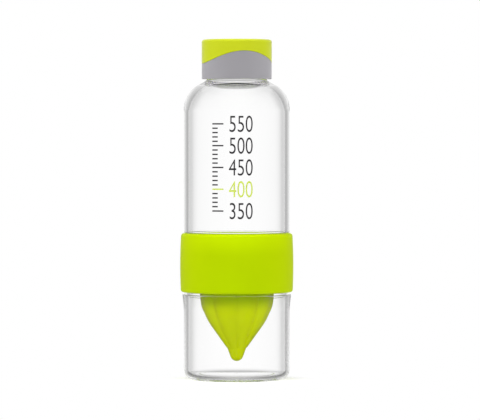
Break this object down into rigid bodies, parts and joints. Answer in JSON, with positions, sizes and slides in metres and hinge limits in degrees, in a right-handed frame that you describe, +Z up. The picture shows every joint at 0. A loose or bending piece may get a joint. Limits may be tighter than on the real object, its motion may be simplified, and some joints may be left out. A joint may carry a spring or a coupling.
{
  "type": "fruit infuser water bottle",
  "caption": "Clear plastic water bottle with a screw cap, and a screw collar holding a citrus reamer and strainer above a clear screw-off fruit cup.",
  "frame": {"origin": "middle of the base, on the surface that the bottle stands on", "axes": "+Z up along the bottle's axis to the cap, -Y to the front"},
  "size_m": [0.077, 0.077, 0.2312],
  "materials": {
    "clear_plastic": "clear polished copolyester",
    "lime_plastic": "moulded, glossy",
    "lime_cover_plastic": "moulded, satin gloss",
    "grey_plastic": "moulded, fine matte",
    "silicone": "translucent white silicone"
  },
  "bodies": {
    "base": {"base_cup": "clear_plastic"},
    "cup_seal_ring": {"cup_seal": "silicone"},
    "press_collar": {"collar": "lime_plastic", "reamer": "lime_plastic"},
    "bottle_seal_ring": {"bottle_seal": "silicone"},
    "bottle_body": {"bottle": "clear_plastic"},
    "cap_seal_ring": {"cap_seal": "silicone"},
    "cap": {"cap_body": "grey_plastic", "cap_cover": "lime_cover_plastic"}
  },
  "joints": [
    {"name": "cup_lift", "type": "slide", "parent": "base", "child": "cup_seal_ring", "axis": [0, 0, 1], "range_m": [0, 0.0722]},
    {"name": "cup_screw", "type": "hinge", "parent": "cup_seal_ring", "child": "press_collar", "pos_m": [0, 0, 0.0769], "axis": [0, 0, 1], "range_deg": [0, 2160]},
    {"name": "bottle_lift", "type": "slide", "parent": "press_collar", "child": "bottle_seal_ring", "axis": [0, 0, 1], "range_m": [0, 0.0241]},
    {"name": "bottle_screw", "type": "hinge", "parent": "bottle_seal_ring", "child": "bottle_body", "pos_m": [0, 0, 0.0819], "axis": [0, 0, 1], "range_deg": [0, 720]},
    {"name": "cap_lift", "type": "slide", "parent": "bottle_body", "child": "cap_seal_ring", "axis": [0, 0, 1], "range_m": [0, 0.0281]},
    {"name": "cap_screw", "type": "hinge", "parent": "cap_seal_ring", "child": "cap", "pos_m": [0, 0, 0.2267], "axis": [0, 0, 1], "range_deg": [0, 1440]}
  ],
  "couplings": [
    {"joint": "cup_lift", "follows": "cup_screw", "m_per_rad": 0.0019099},
    {"joint": "bottle_lift", "follows": "bottle_screw", "m_per_rad": 0.0019099},
    {"joint": "cap_lift", "follows": "cap_screw", "m_per_rad": 0.0011141}
  ]
}
